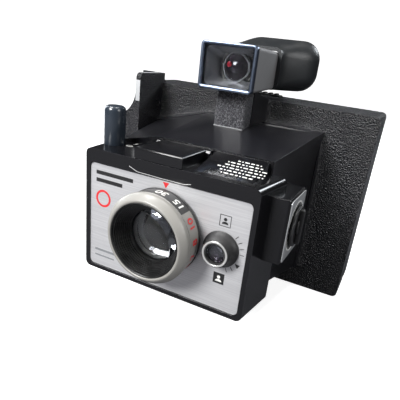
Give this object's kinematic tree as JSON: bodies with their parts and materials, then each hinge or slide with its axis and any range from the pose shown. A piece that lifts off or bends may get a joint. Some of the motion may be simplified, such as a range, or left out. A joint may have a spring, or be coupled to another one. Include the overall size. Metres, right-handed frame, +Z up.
{
  "type": "box camera",
  "caption": "Rigid pack-film instant camera: box front housing with focusing lens and exposure knob, cone, wide rear box with hinged door, top viewfinder and flash well.",
  "frame": {"origin": "on the bottom rest face, under the optical axis, at the film plane", "axes": "+Z up; the lens looks along -Y; +X is on the right of someone facing the lens"},
  "size_m": [0.1534, 0.1466, 0.1465],
  "materials": {
    "shell_black": "moulded black, fine grain on the rear box",
    "housing_black": "polished black",
    "plate_silver": "brushed",
    "ring_grey": "satin light grey",
    "hood_black": "matt, ribbed",
    "lens_glass": "clear",
    "steel": "bright drawn",
    "brass": "turned",
    "knob_black": "satin",
    "trim_bright": "polished",
    "post_blue_grey": "satin smoky blue-grey",
    "finder_grey": "satin grey",
    "finder_chrome": "polished",
    "stalk_grain": "strong grain",
    "cup_black": "satin",
    "pack_black": "satin",
    "cell_case": "printed can",
    "timer_silver": "satin",
    "cell_dark": "glassy"
  },
  "bodies": {
    "camera_body": {"rear_shell": "shell_black", "cone_shell": "shell_black", "side_grip": "shell_black", "front_housing": "housing_black", "face_plate": "plate_silver", "lens_sleeve": "hood_black", "rear_cell": "hood_black", "rear_element": "lens_glass", "shutter_plate": "steel", "release_bracket": "steel", "release_spring": "steel", "lever_pin": "steel", "eye_window": "lens_glass", "photocell": "cell_dark", "photocell_board": "pack_black", "flash_well": "housing_black", "flash_pin": "steel", "timer_case": "housing_black", "timer_face": "timer_silver", "finder_frame": "finder_chrome", "finder_tube": "finder_grey", "finder_front_lens": "lens_glass", "finder_eye_lens": "lens_glass", "eyecup": "cup_black", "finder_stalk": "stalk_grain", "door_hinge_pin": "steel", "film_pack": "pack_black", "roller_frame": "steel", "battery_low": "cell_case", "battery_high": "cell_case", "battery_contacts": "brass", "housing_screws": "steel"},
    "focus_group": {"focus_ring": "ring_grey", "lens_hood": "hood_black", "front_element": "lens_glass"},
    "exposure_group": {"exposure_knob": "knob_black", "knob_trim": "trim_bright", "exposure_vane": "hood_black"},
    "release_button": {"shutter_release": "post_blue_grey"},
    "release_rocker": {"release_lever": "steel"},
    "shutter_vane": {"shutter_blade": "hood_black"},
    "flash_lid": {"flash_cover": "housing_black"},
    "flash_rotor": {"flash_socket": "knob_black"},
    "timer_grip": {"timer_knob": "knob_black", "timer_wheel": "brass"},
    "timer_pinion": {"timer_escape": "brass"},
    "rear_door": {"back_door": "shell_black", "pressure_springs": "steel"},
    "latch_slider": {"door_latch": "knob_black"},
    "front_roller": {"roller_front": "steel"},
    "rear_roller": {"roller_rear": "steel"}
  },
  "joints": [
    {"name": "focus_turn", "type": "hinge", "parent": "camera_body", "child": "focus_group", "pos_m": [0, -0.115, 0.0549], "axis": [0, -1, 0], "range_deg": [-70, 70]},
    {"name": "exposure_turn", "type": "hinge", "parent": "camera_body", "child": "exposure_group", "pos_m": [0.0305, -0.11, 0.0549], "axis": [0, -1, 0], "range_deg": [-50, 50]},
    {"name": "release_press", "type": "slide", "parent": "camera_body", "child": "release_button", "axis": [0, 0, -1], "range_m": [0, 0.0045], "stiffness_N_per_m": 250, "springref_m": -0.002, "deforming": ["release_spring"]},
    {"name": "rocker_turn", "type": "hinge", "parent": "camera_body", "child": "release_rocker", "pos_m": [-0.024, -0.093, 0.0599], "axis": [0, -1, 0], "range_deg": [0, 18]},
    {"name": "shutter_swing", "type": "hinge", "parent": "camera_body", "child": "shutter_vane", "pos_m": [-0.019, -0.1, 0.0549], "axis": [0, 1, 0], "range_deg": [0, 45]},
    {"name": "flash_lid_turn", "type": "hinge", "parent": "camera_body", "child": "flash_lid", "pos_m": [-0.005, -0.0849, 0.0895], "axis": [-1, 0, 0], "range_deg": [0, 90]},
    {"name": "flash_socket_turn", "type": "hinge", "parent": "camera_body", "child": "flash_rotor", "pos_m": [-0.005, -0.0942, 0.078], "axis": [0, 0, 1], "continuous": true},
    {"name": "timer_turn", "type": "hinge", "parent": "camera_body", "child": "timer_grip", "pos_m": [0.0549, -0.08415, 0.0653], "axis": [1, 0, 0], "range_deg": [0, 300]},
    {"name": "timer_escape_turn", "type": "hinge", "parent": "camera_body", "child": "timer_pinion", "pos_m": [0.048, -0.08415, 0.0562], "axis": [1, 0, 0], "range_deg": [-600, 0]},
    {"name": "door_swing", "type": "hinge", "parent": "camera_body", "child": "rear_door", "pos_m": [0, 0.0055, 0.0034], "axis": [-1, 0, 0], "range_deg": [0, 90]},
    {"name": "latch_slide", "type": "slide", "parent": "rear_door", "child": "latch_slider", "axis": [1, 0, 0], "range_m": [0, 0.004], "stiffness_N_per_m": 120},
    {"name": "front_roller_turn", "type": "hinge", "parent": "camera_body", "child": "front_roller", "pos_m": [-0.0674, 0.00505, 0.057], "axis": [0, 0, 1], "continuous": true},
    {"name": "rear_roller_turn", "type": "hinge", "parent": "camera_body", "child": "rear_roller", "pos_m": [-0.0674, 0.01435, 0.057], "axis": [0, 0, 1], "continuous": true}
  ],
  "couplings": [
    {"joint": "rocker_turn", "follows": "release_press", "rad_per_m": 65.935},
    {"joint": "shutter_swing", "follows": "release_press", "rad_per_m": 166.78},
    {"joint": "timer_escape_turn", "follows": "timer_turn", "ratio": -2},
    {"joint": "rear_roller_turn", "follows": "front_roller_turn", "ratio": -1}
  ]
}
